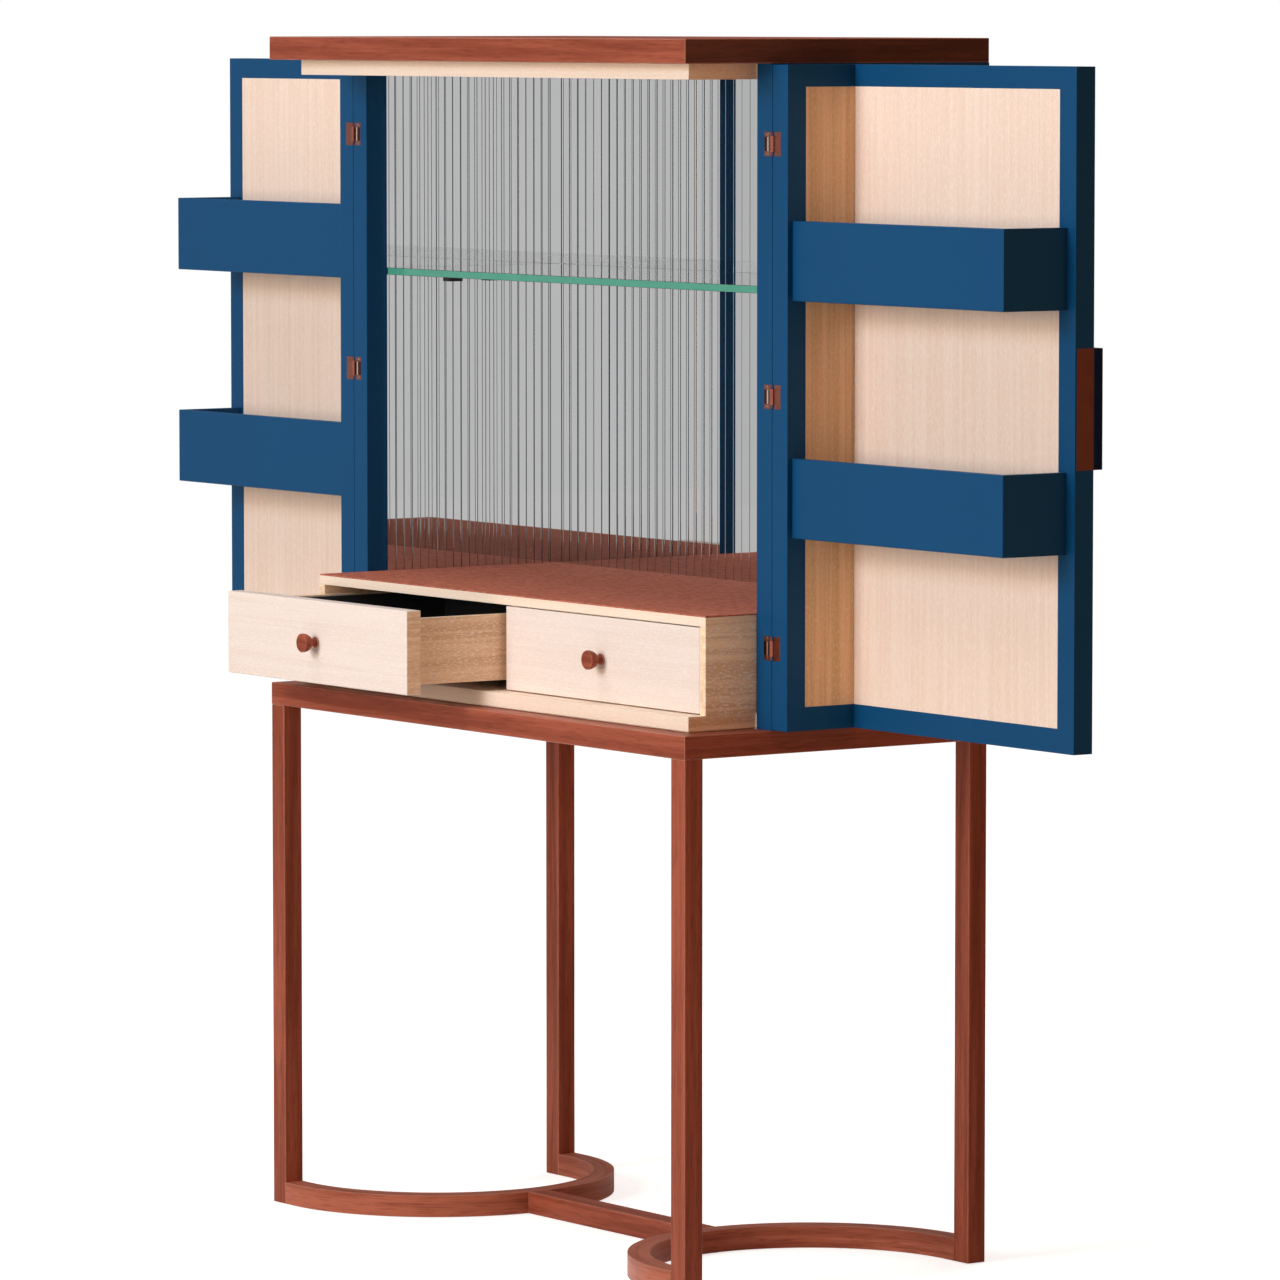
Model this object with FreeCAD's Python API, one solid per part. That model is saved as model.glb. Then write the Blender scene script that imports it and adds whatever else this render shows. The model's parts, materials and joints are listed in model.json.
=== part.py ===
import FreeCAD, Part
import math
import os

from FreeCAD import Vector

os.makedirs("parts", exist_ok=True)

# Bar cabinet on an open stand, in millimetres.
# Origin: on the floor, under the middle of the stand. +X is to the right, +Y to the back, +Z up.
# It is modelled as it stands in use: both L-shaped doors folded right back, the left drawer pulled out.

# Whole cabinet
width = 960.0
depth = 476.0
stand_height = 707.5
carcass_height = 837.0
slab_thickness = 31.0
edge_ease = 0.8
overrun = 5.0

# Stand
leg_width = 30.0
leg_depth = 28.0
rail_height = 30.0
rail_width = 40.0
stretcher_height = 29.0
stretcher_band = 28.0
stretcher_straight = 20.0
crossbar_depth = 32.0
glide_radius = 10.0
glide_thickness = 4.0
glide_proud = 1.0

# Carcass
wall_thickness = 32.0
back_thickness = 31.0
board_thickness = 20.0
hinge_plane_from_front = 134.0
board_side_gap = 1.5
board_front_gap = 1.0
shadow_line_height = 1.6
shadow_line_depth = 4.0
screw_radius = 3.0
screw_head_radius = 5.5
screw_head_height = 3.0
screw_reach = 22.0
stand_screw_inset = 60.0

# Mirror lining and glass shelf
mirror_thickness = 4.0
mirror_setback = 30.0
groove_width = 2.4
groove_depth = 1.0
groove_pitch_side = 13.3
groove_pitch_back = 18.2
glass_thickness = 9.6
glass_gap = 1.5
glass_above_stand = 556.5
pin_radius = 2.5
pin_length = 9.0
pin_tab_width = 20.0
pin_tab_depth = 9.0
pin_tab_thickness = 11.0
pin_inset = 107.0

# Drawer case
case_setback = 56.0
case_side_thickness = 12.0
case_top_thickness = 12.0
case_opening_height = 112.0
divider_thickness = 16.0
leather_thickness = 2.0
bearer_width = 12.0
bearer_height = 13.0
bearer_end_gap = 12.0

# Drawers
drawer_front_thickness = 22.0
drawer_front_gap = 1.5
drawer_side_gap = 1.0
drawer_side_thickness = 12.0
drawer_side_height = 86.0
drawer_back_room = 37.0
drawer_slide_gap = 0.4
drawer_bottom_thickness = 6.0
drawer_bottom_lift = 6.0
drawer_groove = 5.0
left_drawer_out = 154.0
knob_length = 23.0
knob_disc_radius = 12.5
knob_disc_edge = 2.0
knob_neck_radius = 4.0
knob_neck_place = 8.0
knob_bulge_radius = 9.8
knob_bulge_place = 12.5
knob_base_radius = 7.5
knob_base_edge = 2.0

# Doors
door_front_thickness = 28.5
door_side_thickness = 32.0
door_bottom_gap = 1.0
door_top_gap = 1.5
door_hinge_gap = 1.0
door_meeting_gap = 3.0
door_open_angle = 180.0
stile_width = 32.5
hinge_stile_width = 28.0
top_rail_height = 27.5
bottom_rail_height = 30.0
lining_thickness = 3.0
tray_depth = 97.0
tray_height = 100.0
tray_end_inset = 17.0
tray_board = 10.0
tray_floor = 8.0
lower_tray_height = 243.0
upper_tray_height = 540.0
handle_height = 148.0
handle_width = 30.0
handle_depth = 14.3
handle_above_bottom = 346.0
plate_thickness = 2.0
plate_width = 26.0
magnet_radius = 4.5
magnet_length = 12.0
magnet_inset = 7.0
magnet_from_middle = 60.0

# Hinges
hinge_from_bottom = 102.5
hinge_from_top = 99.0
leaf_height = 30.4
leaf_width = 17.5
leaf_thickness = 2.0
knuckle_radius = 3.5
knuckle_height = 4.0
knuckle_count = 5
knuckle_gap = 0.2
knuckle_room = 0.4
hinge_pin_radius = 1.5
hinge_pin_fit = 0.05
axis_outset = 0.5
leaf_screw_radius = 1.3
leaf_screw_head_radius = 2.6
leaf_screw_length = 14.0
leaf_screw_spacing = 24.4
leaf_screw_from_axis = 11.0

# Planes that the pieces share
side_x = width / 2
front_y = -depth / 2
back_y = depth / 2
slab_bottom_z = stand_height + carcass_height
wall_inner_x = side_x - wall_thickness
hinge_plane_y = front_y + hinge_plane_from_front
back_face_y = back_y - back_thickness
mirror_face_y = back_face_y - mirror_thickness
floor_board_top_z = stand_height + board_thickness
top_board_bottom_z = slab_bottom_z - board_thickness
case_front_y = front_y + case_setback
case_half_width = wall_inner_x - board_side_gap
case_top_z = floor_board_top_z + case_opening_height
case_deck_z = case_top_z + case_top_thickness
leather_top_z = case_deck_z + leather_thickness
axis_x = side_x + axis_outset
axis_y = hinge_plane_y - door_hinge_gap / 2
door_inner_y = front_y + door_front_thickness
door_inner_x = side_x - door_side_thickness
door_edge_y = hinge_plane_y - door_hinge_gap
door_bottom_z = stand_height + door_bottom_gap
door_top_z = slab_bottom_z - door_top_gap
meeting_x = door_meeting_gap / 2
lower_hinge_z = door_bottom_z + hinge_from_bottom
upper_hinge_z = door_top_z - hinge_from_top
hinge_heights = (lower_hinge_z, (lower_hinge_z + upper_hinge_z) / 2, upper_hinge_z)
glass_top_z = stand_height + glass_above_stand


def block(x_span, y_span, z_span):
    """A rectangular board between two planes on each axis."""
    low = Vector(min(x_span), min(y_span), min(z_span))
    high = Vector(max(x_span), max(y_span), max(z_span))
    size = high - low
    return Part.makeBox(size.x, size.y, size.z, low)


def eased(shape, along=None):
    """Breaks the sharp edges, all of them or those that run along one direction."""
    edges = []
    for edge in shape.Edges:
        if not isinstance(edge.Curve, Part.Line):
            continue
        if along is None or abs(edge.Curve.Direction.dot(along)) > math.cos(math.radians(1)):
            edges.append(edge)
    return shape.makeChamfer(edge_ease, edges)


def mirrored(shape):
    """The same piece on the other side of the cabinet."""
    return shape.mirror(Vector(0, 0, 0), Vector(1, 0, 0))


def upright(radius, x, y, z_span):
    """A round bar or hole that stands along Z."""
    return Part.makeCylinder(radius, max(z_span) - min(z_span), Vector(x, y, min(z_span)))


def export(name, *shapes):
    """Writes one sub-part: a solid, or a group of separate solids."""
    solids = []
    for shape in shapes:
        solids.extend(shape.Solids)
    whole = solids[0] if len(solids) == 1 else Part.makeCompound(solids)
    if not all(solid.isValid() for solid in solids):
        raise ValueError("invalid solid in " + name)
    whole.exportStep("parts/" + name + ".step")


def export_pair(name, *shapes):
    """Writes a right-hand sub-part and its mirrored left-hand twin."""
    export(name + "_right", *shapes)
    export(name + "_left", *[mirrored(shape) for shape in shapes])


def wood_screw(head_at, direction, radius, head_radius, head_height, length):
    """A countersunk wood screw whose flat head lies in the surface that it is driven into."""
    head = Part.makeCone(head_radius, radius, head_height, head_at, direction)
    shank = Part.makeCylinder(radius, length, head_at, direction)
    return head.fuse(shank).removeSplitter()


# Stand: four legs, four rails, two curved stretchers and the bar between them
X_AXIS = Vector(1, 0, 0)
Y_AXIS = Vector(0, 1, 0)
Z_AXIS = Vector(0, 0, 1)
leg_inner_x = side_x - leg_width
leg_inner_y = depth / 2 - leg_depth
rail_bottom_z = stand_height - rail_height
rail_inner_x = side_x - rail_width
rail_inner_y = depth / 2 - rail_width
stretcher_z = (glide_proud, glide_proud + stretcher_height)
arc_centre_x = leg_inner_x - stretcher_straight
arc_radius = depth / 2
arc_tip_x = arc_centre_x - arc_radius

glide_places = [(0, 0)]
for side in (1, -1):
    for end in (1, -1):
        glide_places.append((side * (leg_inner_x + leg_width / 2), end * (leg_inner_y + leg_depth / 2)))
    glide_places.append((side * (arc_tip_x + stretcher_band / 2), 0))
glides = [upright(glide_radius, x, y, (0, glide_thickness)) for x, y in glide_places]
glide_seats = Part.makeCompound(glides)

leg_z = (glide_proud, rail_bottom_z)
for place, y_span in (("front", (-depth / 2, -leg_inner_y)), ("back", (leg_inner_y, depth / 2))):
    leg = eased(block((leg_inner_x, side_x), y_span, leg_z), Z_AXIS)
    export("leg_" + place + "_right", leg.cut(glide_seats))
    export("leg_" + place + "_left", mirrored(leg).cut(glide_seats))

# The curved stretcher is a half ring that bulges towards the middle, with short straight ends at the legs
ring_outer = upright(arc_radius, arc_centre_x, 0, stretcher_z)
ring_inner = upright(arc_radius - stretcher_band, arc_centre_x, 0, stretcher_z)
ring_half = block((arc_tip_x - overrun, arc_centre_x), (-arc_radius, arc_radius), stretcher_z)
stretcher = ring_outer.cut(ring_inner).common(ring_half)
for end in (1, -1):
    tail_y = (end * leg_inner_y, end * (leg_inner_y + stretcher_band))
    stretcher = stretcher.fuse(block((arc_centre_x, leg_inner_x), tail_y, stretcher_z))
stretcher = stretcher.removeSplitter()
export("stretcher_arc_right", stretcher.cut(glide_seats))
export("stretcher_arc_left", mirrored(stretcher).cut(glide_seats))

crossbar_reach = arc_tip_x + arc_radius / 2
crossbar = block((-crossbar_reach, crossbar_reach), (-crossbar_depth / 2, crossbar_depth / 2), stretcher_z)
crossbar = crossbar.cut(ring_outer).cut(mirrored(ring_outer))
export("stretcher_crossbar", crossbar.cut(glide_seats))
export("foot_glides", *glides)

# Screws up through the side rails into the side walls, and up through the top board into the slab
stand_screws = []
for side in (1, -1):
    for y in (hinge_plane_y + stand_screw_inset, back_y - stand_screw_inset):
        foot = Vector(side * (side_x - leg_width / 2), y, rail_bottom_z)
        stand_screws.append(wood_screw(foot, Z_AXIS, screw_radius, screw_head_radius, screw_head_height,
                                       rail_height + screw_reach))
slab_screws = []
for side in (1, -1):
    for y in (hinge_plane_y + stand_screw_inset, back_face_y - stand_screw_inset):
        head = Vector(side * (wall_inner_x - stand_screw_inset), y, top_board_bottom_z)
        slab_screws.append(wood_screw(head, Z_AXIS, screw_radius, screw_head_radius, screw_head_height,
                                      board_thickness + screw_reach))
stand_screw_holes = Part.makeCompound(stand_screws)
slab_screw_holes = Part.makeCompound(slab_screws)


def mitred_rail(outer_start, outer_end, inner_end, inner_start):
    """A rail of the top frame, cut to a mitre at each end, from its four corners in plan."""
    plan = (outer_start, outer_end, inner_end, inner_start, outer_start)
    corners = [Vector(x, y, rail_bottom_z) for x, y in plan]
    return Part.Face(Part.makePolygon(corners)).extrude(Vector(0, 0, rail_height))


# The rails lie on top of the legs and meet in mitres. They are wider than the legs, so that the bottom board
# rests on them all round
front_rail = mitred_rail((-side_x, -depth / 2), (side_x, -depth / 2), (rail_inner_x, -rail_inner_y),
                         (-rail_inner_x, -rail_inner_y))
front_rail = eased(front_rail, X_AXIS)
export("rail_front", front_rail)
export("rail_back", front_rail.mirror(Vector(0, 0, 0), Y_AXIS))
side_rail = mitred_rail((side_x, -depth / 2), (side_x, depth / 2), (rail_inner_x, rail_inner_y),
                        (rail_inner_x, -rail_inner_y))
side_rail = eased(side_rail, Y_AXIS)
export("rail_right", side_rail.cut(stand_screw_holes))
export("rail_left", mirrored(side_rail).cut(stand_screw_holes))

slab = eased(block((-side_x, side_x), (front_y, back_y), (slab_bottom_z, slab_bottom_z + slab_thickness)))
export("top_slab", slab.cut(slab_screw_holes))


# Hinges: the axis stands at the outer corner where a door's side wing meets the fixed side wall
barrel_height = knuckle_height * knuckle_count


def knuckle_spans(z, first):
    """Heights of every other knuckle of one barrel, from the one numbered first."""
    spans = []
    for number in range(first, knuckle_count, 2):
        low = z - barrel_height / 2 + number * knuckle_height
        spans.append((low + knuckle_gap / 2, low + knuckle_height - knuckle_gap / 2))
    return spans


def leaf_screws(z, towards):
    """The two screws of one leaf, driven towards +Y or -Y from the face of the leaf."""
    face_y = hinge_plane_y if towards > 0 else door_edge_y
    screws = []
    for end in (1, -1):
        head = Vector(axis_x - leaf_screw_from_axis, face_y, z + end * leaf_screw_spacing / 2)
        screws.append(wood_screw(head, Vector(0, towards, 0), leaf_screw_radius, leaf_screw_head_radius,
                                 leaf_screw_head_radius - leaf_screw_radius, leaf_screw_length))
    return screws


def leaf_pocket(z, towards):
    """The space that one leaf fills in the wood, out to the wood's outer face."""
    face_y = hinge_plane_y if towards > 0 else door_edge_y
    y_span = (face_y, face_y + towards * leaf_thickness)
    return block((axis_x - leaf_width, side_x), y_span, (z - leaf_height / 2, z + leaf_height / 2))


def barrel_room(z):
    """The space that the wood and the other leaf leave around a barrel."""
    z_span = (z - barrel_height / 2 - knuckle_gap, z + barrel_height / 2 + knuckle_gap)
    return upright(knuckle_radius + knuckle_room, axis_x, axis_y, z_span)


def hinge_leaf(z, towards, first):
    """One leaf with its knuckles, bored for the pin."""
    plate = leaf_pocket(z, towards)
    whole_height = (z - leaf_height / 2, z + leaf_height / 2)
    plate = plate.cut(upright(knuckle_radius + knuckle_room, axis_x, axis_y, whole_height))
    face_y = hinge_plane_y if towards > 0 else door_edge_y
    web_y = (face_y, face_y + towards * leaf_thickness)
    web_x = (axis_x - knuckle_radius - knuckle_room - leaf_thickness, axis_x)
    for span in knuckle_spans(z, first):
        plate = plate.fuse(block(web_x, web_y, span))
        plate = plate.fuse(upright(knuckle_radius, axis_x, axis_y, span))
    plate = plate.cut(upright(hinge_pin_radius + hinge_pin_fit, axis_x, axis_y, whole_height))
    plate = plate.cut(Part.makeCompound(leaf_screws(z, towards)))
    return plate.removeSplitter()


wall_leaves = [hinge_leaf(z, 1, 0) for z in hinge_heights]
door_leaves = [hinge_leaf(z, -1, 1) for z in hinge_heights]
hinge_pins = []
for z in hinge_heights:
    pin_span = (z - barrel_height / 2, z + barrel_height / 2)
    hinge_pins.append(upright(hinge_pin_radius, axis_x, axis_y, pin_span))
wall_leaf_screws = []
door_leaf_screws = []
for z in hinge_heights:
    wall_leaf_screws.extend(leaf_screws(z, 1))
    door_leaf_screws.extend(leaf_screws(z, -1))

# Carcass: lacquered side walls and back, oak top and bottom boards
wall_cuts = [leaf_pocket(z, 1) for z in hinge_heights] + [barrel_room(z) for z in hinge_heights]
wall_cuts = wall_cuts + wall_leaf_screws + stand_screws
side_wall = block((wall_inner_x, side_x), (hinge_plane_y, back_y), (stand_height, slab_bottom_z))
side_wall = side_wall.cut(Part.makeCompound(wall_cuts))
back_panel = block((-wall_inner_x, wall_inner_x), (back_face_y, back_y), (stand_height, slab_bottom_z))
export("back_panel", back_panel)

# Catch magnets sunk in the board's top face, under the slab, just behind the board's front edge
magnets = []
magnet_y = door_inner_y + board_front_gap + magnet_inset
for side in (1, -1):
    magnet_z = (slab_bottom_z - magnet_length, slab_bottom_z)
    magnets.append(upright(magnet_radius, side * magnet_from_middle, magnet_y, magnet_z))
export("catch_magnets", *magnets)


def oak_board(z_span):
    """A board that fills the space between the walls and stands forward of them, inside the doors."""
    board = block((-wall_inner_x, wall_inner_x), (hinge_plane_y, back_face_y), z_span)
    front_y_span = (door_inner_y + board_front_gap, hinge_plane_y)
    front = block((-case_half_width, case_half_width), front_y_span, z_span)
    return board.fuse(front).removeSplitter()


top_board = oak_board((top_board_bottom_z, slab_bottom_z))
export("top_board", top_board.cut(slab_screw_holes).cut(Part.makeCompound(magnets)))

# A rebate under the bottom board's edges leaves a dark shadow line between the carcass and the stand
board_front_y = door_inner_y + board_front_gap
line_z = (stand_height - overrun, stand_height + shadow_line_height)
front_line = block((-side_x, side_x), (front_y, board_front_y + shadow_line_depth), line_z)
side_line = block((case_half_width - shadow_line_depth, wall_inner_x), (front_y, hinge_plane_y), line_z)
bottom_board = oak_board((stand_height, floor_board_top_z))
export("bottom_board", bottom_board.cut(front_line).cut(side_line).cut(mirrored(side_line)))


def fluted(panel, start, step, count, normal, span):
    """Cuts upright V grooves into a mirror's face, at even steps across it."""
    grooves = []
    for number in range(1, count):
        middle = start + step * number
        across = Vector(step.x, step.y, 0).normalize() * (groove_width / 2)
        corners = [middle - across, middle + across, middle + normal * groove_depth]
        corners.append(corners[0])
        wedge = Part.Face(Part.makePolygon(corners)).extrude(Vector(0, 0, span))
        grooves.append(wedge)
    return panel.cut(Part.makeCompound(grooves))


# Shelf pins: a round stem in the wall and a square block under the glass
glass_bottom_z = glass_top_z - glass_thickness
mirror_front_y = hinge_plane_y + mirror_setback
mirror_inner_x = wall_inner_x - mirror_thickness
pin_z = glass_bottom_z - pin_tab_thickness / 2
pins = []
for y in (mirror_front_y + pin_inset, mirror_face_y - pin_inset):
    stem_start = Vector(mirror_inner_x, y, pin_z)
    stem = Part.makeCylinder(pin_radius, mirror_thickness + pin_length, stem_start, X_AXIS)
    tab_x = (mirror_inner_x - pin_tab_depth, mirror_inner_x)
    tab_y = (y - pin_tab_width / 2, y + pin_tab_width / 2)
    tab = block(tab_x, tab_y, (glass_bottom_z - pin_tab_thickness, glass_bottom_z))
    pins.append(tab.fuse(stem).removeSplitter())
pin_holes = Part.makeCompound(pins)
export("shelf_pins", *pins, *[mirrored(pin) for pin in pins])
side_wall = side_wall.cut(pin_holes)
export_pair("side_wall", side_wall)
export("cabinet_screws", *stand_screws, *slab_screws, *wall_leaf_screws,
       *[mirrored(screw) for screw in wall_leaf_screws])

# Mirror lining: fluted panes on both side walls and on the back
mirror_z = (leather_top_z, top_board_bottom_z)
mirror_tall = top_board_bottom_z - leather_top_z
side_pane = block((mirror_inner_x, wall_inner_x), (mirror_front_y, back_face_y), mirror_z)
side_count = int((mirror_face_y - mirror_front_y) // groove_pitch_side)
side_start = Vector(mirror_inner_x, mirror_front_y, leather_top_z)
side_step = Vector(0, groove_pitch_side, 0)
side_pane = fluted(side_pane, side_start, side_step, side_count, X_AXIS, mirror_tall)
export_pair("mirror", side_pane.cut(pin_holes))
back_pane = block((-mirror_inner_x, mirror_inner_x), (mirror_face_y, back_face_y), mirror_z)
back_count = int(2 * mirror_inner_x // groove_pitch_back)
back_start = Vector(-back_count * groove_pitch_back / 2, mirror_face_y, leather_top_z)
back_pane = fluted(back_pane, back_start, Vector(groove_pitch_back, 0, 0), back_count, Y_AXIS, mirror_tall)
export("mirror_back", back_pane)

glass_half = mirror_inner_x - glass_gap
glass_y = (mirror_front_y, mirror_face_y - glass_gap)
glass = block((-glass_half, glass_half), glass_y, (glass_bottom_z, glass_top_z))
export("glass_shelf", eased(glass))

# Drawer case: a low oak box that carries the leather deck and holds the two drawers
case_z = (floor_board_top_z, case_top_z)
case_y = (case_front_y, back_face_y)
case_inner_x = case_half_width - case_side_thickness
export_pair("drawer_case_side", block((case_inner_x, case_half_width), case_y, case_z))
export("drawer_case_top", block((-case_half_width, case_half_width), case_y, (case_top_z, case_deck_z)))
divider_y = (case_front_y + drawer_front_thickness + drawer_side_gap, back_face_y)
divider_half = divider_thickness / 2
export("drawer_case_divider", block((-divider_half, divider_half), divider_y, case_z))
export("leather_deck", block((-case_half_width, case_half_width), case_y, (case_deck_z, leather_top_z)))

box_x = (divider_half + drawer_side_gap, case_inner_x - drawer_side_gap)
bearer_y = (divider_y[0] + bearer_end_gap, back_face_y - bearer_end_gap)
bearer_z = (floor_board_top_z, floor_board_top_z + bearer_height)
bearers = []
for x_span in ((box_x[0], box_x[0] + bearer_width), (box_x[1] - bearer_width, box_x[1])):
    bearers.append(block(x_span, bearer_y, bearer_z))
export("drawer_bearers", *bearers, *[mirrored(bearer) for bearer in bearers])


def drawer_pieces():
    """The right drawer, shut: front, box, bottom and knob."""
    front_x = (drawer_front_gap / 2, case_inner_x - drawer_front_gap / 2)
    front_z = (floor_board_top_z + drawer_front_gap, case_top_z - drawer_front_gap)
    back_of_front = case_front_y + drawer_front_thickness
    front = eased(block(front_x, (case_front_y, back_of_front), front_z))
    side_z = (bearer_z[1] + drawer_slide_gap, bearer_z[1] + drawer_slide_gap + drawer_side_height)
    box_y = (back_of_front, back_face_y - drawer_back_room)
    inner_x = (box_x[0] + drawer_side_thickness, box_x[1] - drawer_side_thickness)
    near_side = block((box_x[0], inner_x[0]), box_y, side_z)
    far_side = block((inner_x[1], box_x[1]), box_y, side_z)
    back = block(inner_x, (box_y[1] - drawer_side_thickness, box_y[1]), side_z)
    bottom_z = (side_z[0] + drawer_bottom_lift, side_z[0] + drawer_bottom_lift + drawer_bottom_thickness)
    bottom_x = (inner_x[0] - drawer_groove, inner_x[1] + drawer_groove)
    bottom_y = (back_of_front, box_y[1] - drawer_side_thickness + drawer_groove)
    bottom = block(bottom_x, bottom_y, bottom_z)
    box = [near_side.cut(bottom), far_side.cut(bottom), back.cut(bottom)]
    knob = turned_knob(sum(front_x) / 2, case_front_y, sum(front_z) / 2)
    return {"front": [front], "box": box, "bottom": [bottom], "knob": [knob]}


def turned_knob(x, y, z):
    """A turned knob: a flared foot, a slim neck and a full, rounded head with a flat face."""
    outline = [
        (0, 0),
        (knob_base_radius, 0),
        (knob_base_radius, knob_base_edge),
        (knob_neck_radius, knob_neck_place),
        (knob_bulge_radius, knob_bulge_place),
        (knob_disc_radius, knob_length - knob_disc_edge),
        (knob_disc_radius, knob_length),
        (0, knob_length),
        (0, 0),
    ]
    points = [Vector(x + radius, y - out, z) for radius, out in outline]
    profile = Part.Face(Part.makePolygon(points))
    return profile.revolve(Vector(x, y, z), Y_AXIS, 360)


for side, name in ((1, "right"), (-1, "left")):
    for piece, shapes in drawer_pieces().items():
        if side < 0:
            shapes = [mirrored(shape) for shape in shapes]
            for shape in shapes:
                shape.translate(Vector(0, -left_drawer_out, 0))
        export("drawer_" + name + "_" + piece, *shapes)


def tray(bottom_z):
    """An open-topped tray on a door: front board, end board and floor. The door's lining is its back."""
    front_of_tray = door_inner_y + tray_depth
    x_span = (meeting_x + tray_end_inset, door_inner_x)
    z_span = (bottom_z, bottom_z + tray_height)
    front = eased(block(x_span, (front_of_tray - tray_board, front_of_tray), z_span), X_AXIS)
    end_y = (door_inner_y, front_of_tray - tray_board)
    end = block((x_span[0], x_span[0] + tray_board), end_y, z_span)
    floor = block((x_span[0] + tray_board, x_span[1]), end_y, (bottom_z, bottom_z + tray_floor))
    return [front, end, floor]


def door_pieces():
    """The right door, shut: a wide wing in front and a narrow wing at the side, lined with oak."""
    door_z = (door_bottom_z, door_top_z)
    lining_z = (door_bottom_z + bottom_rail_height, door_top_z - top_rail_height)
    front = block((meeting_x, side_x), (front_y, door_inner_y), door_z)
    side = block((door_inner_x, side_x), (door_inner_y, door_edge_y), door_z)
    front_lining_y = (door_inner_y - lining_thickness, door_inner_y)
    front_lining = block((meeting_x + stile_width, door_inner_x), front_lining_y, lining_z)
    side_lining = block((door_inner_x, door_inner_x + lining_thickness),
                        (door_inner_y, door_edge_y - hinge_stile_width), lining_z)
    handle_bottom_z = door_bottom_z + handle_above_bottom
    handle_z = (handle_bottom_z, handle_bottom_z + handle_height)
    plate = block((meeting_x, meeting_x + plate_thickness), (front_y, front_y + plate_width), handle_z)
    handle = eased(block((meeting_x, meeting_x + handle_width), (front_y - handle_depth, front_y), handle_z))
    strike_z = (door_top_z - magnet_length, door_top_z)
    strike = upright(magnet_radius, magnet_from_middle, door_inner_y - magnet_inset, strike_z)
    screws = door_leaf_screws + [strike]
    front = front.cut(Part.makeCompound([front_lining, plate, strike]))
    side_cuts = [side_lining] + [leaf_pocket(z, -1) for z in hinge_heights]
    side_cuts = side_cuts + [barrel_room(z) for z in hinge_heights] + door_leaf_screws
    side = side.cut(Part.makeCompound(side_cuts))
    return {
        "front": [front],
        "side": [side],
        "lining": [front_lining, side_lining],
        "tray_lower": tray(door_bottom_z + lower_tray_height),
        "tray_upper": tray(door_bottom_z + upper_tray_height),
        "handle": [handle],
        "edge_plate": [plate],
        "hinge_leaves": door_leaves,
        "screws": screws,
    }


for side, name in ((1, "right"), (-1, "left")):
    for piece, shapes in door_pieces().items():
        opened = [shape.copy() for shape in shapes]
        for shape in opened:
            shape.rotate(Vector(axis_x, axis_y, 0), Z_AXIS, door_open_angle)
        if side < 0:
            opened = [mirrored(shape) for shape in opened]
        export("door_" + name + "_" + piece, *opened)
export_pair("hinge_leaves", *wall_leaves, *hinge_pins)
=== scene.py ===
# %% [markdown]
# # A bar cabinet on an open stand
#
# The cabinet is a lacquered box with two L-shaped doors, standing on slim legs of copper-stained wood.
# Its boards, legs, hinges and drawers were drawn in CAD, and they come in as a frame that stays where it is.
# This lesson dresses that frame: light and camera first, then one finish after another, and then the
# pieces whose shape is finer than a plain board, such as the fluted mirrors, the glass and the knobs. Lengths
# are in metres, and MM is one millimetre.

# %% Load the frame
import bpy
import json
import math
import numpy as np
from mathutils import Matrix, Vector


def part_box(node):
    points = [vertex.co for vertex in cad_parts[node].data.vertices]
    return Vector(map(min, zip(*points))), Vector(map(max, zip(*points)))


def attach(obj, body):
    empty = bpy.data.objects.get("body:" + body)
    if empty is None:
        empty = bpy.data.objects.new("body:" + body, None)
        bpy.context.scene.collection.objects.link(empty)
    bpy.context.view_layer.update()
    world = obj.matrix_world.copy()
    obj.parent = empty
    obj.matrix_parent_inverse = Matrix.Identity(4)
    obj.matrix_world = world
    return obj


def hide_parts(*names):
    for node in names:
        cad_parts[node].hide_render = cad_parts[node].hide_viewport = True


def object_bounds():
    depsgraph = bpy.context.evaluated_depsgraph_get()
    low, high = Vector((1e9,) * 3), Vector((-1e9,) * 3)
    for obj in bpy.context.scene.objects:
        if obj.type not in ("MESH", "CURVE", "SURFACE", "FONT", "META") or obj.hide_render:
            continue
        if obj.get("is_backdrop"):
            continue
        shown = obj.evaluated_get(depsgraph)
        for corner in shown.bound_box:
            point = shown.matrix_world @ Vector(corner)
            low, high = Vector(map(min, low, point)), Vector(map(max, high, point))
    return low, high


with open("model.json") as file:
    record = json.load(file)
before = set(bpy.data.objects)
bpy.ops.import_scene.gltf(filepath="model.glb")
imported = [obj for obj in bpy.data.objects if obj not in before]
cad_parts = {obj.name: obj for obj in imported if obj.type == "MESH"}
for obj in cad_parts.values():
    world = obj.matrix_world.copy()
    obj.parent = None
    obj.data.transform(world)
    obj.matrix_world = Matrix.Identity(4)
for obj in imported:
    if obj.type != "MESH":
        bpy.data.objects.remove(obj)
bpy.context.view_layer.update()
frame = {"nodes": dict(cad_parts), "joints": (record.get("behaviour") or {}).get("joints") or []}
nodes = frame["nodes"]
MM = 0.001

# %% [markdown]
# ## Camera
#
# The photograph was taken from far away with a long lens, so upright edges stay nearly parallel. The place
# and the lens were worked out from measured edges. A long lens needs a far clip end, and no shift is needed
# because the camera looks down a little.

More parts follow.
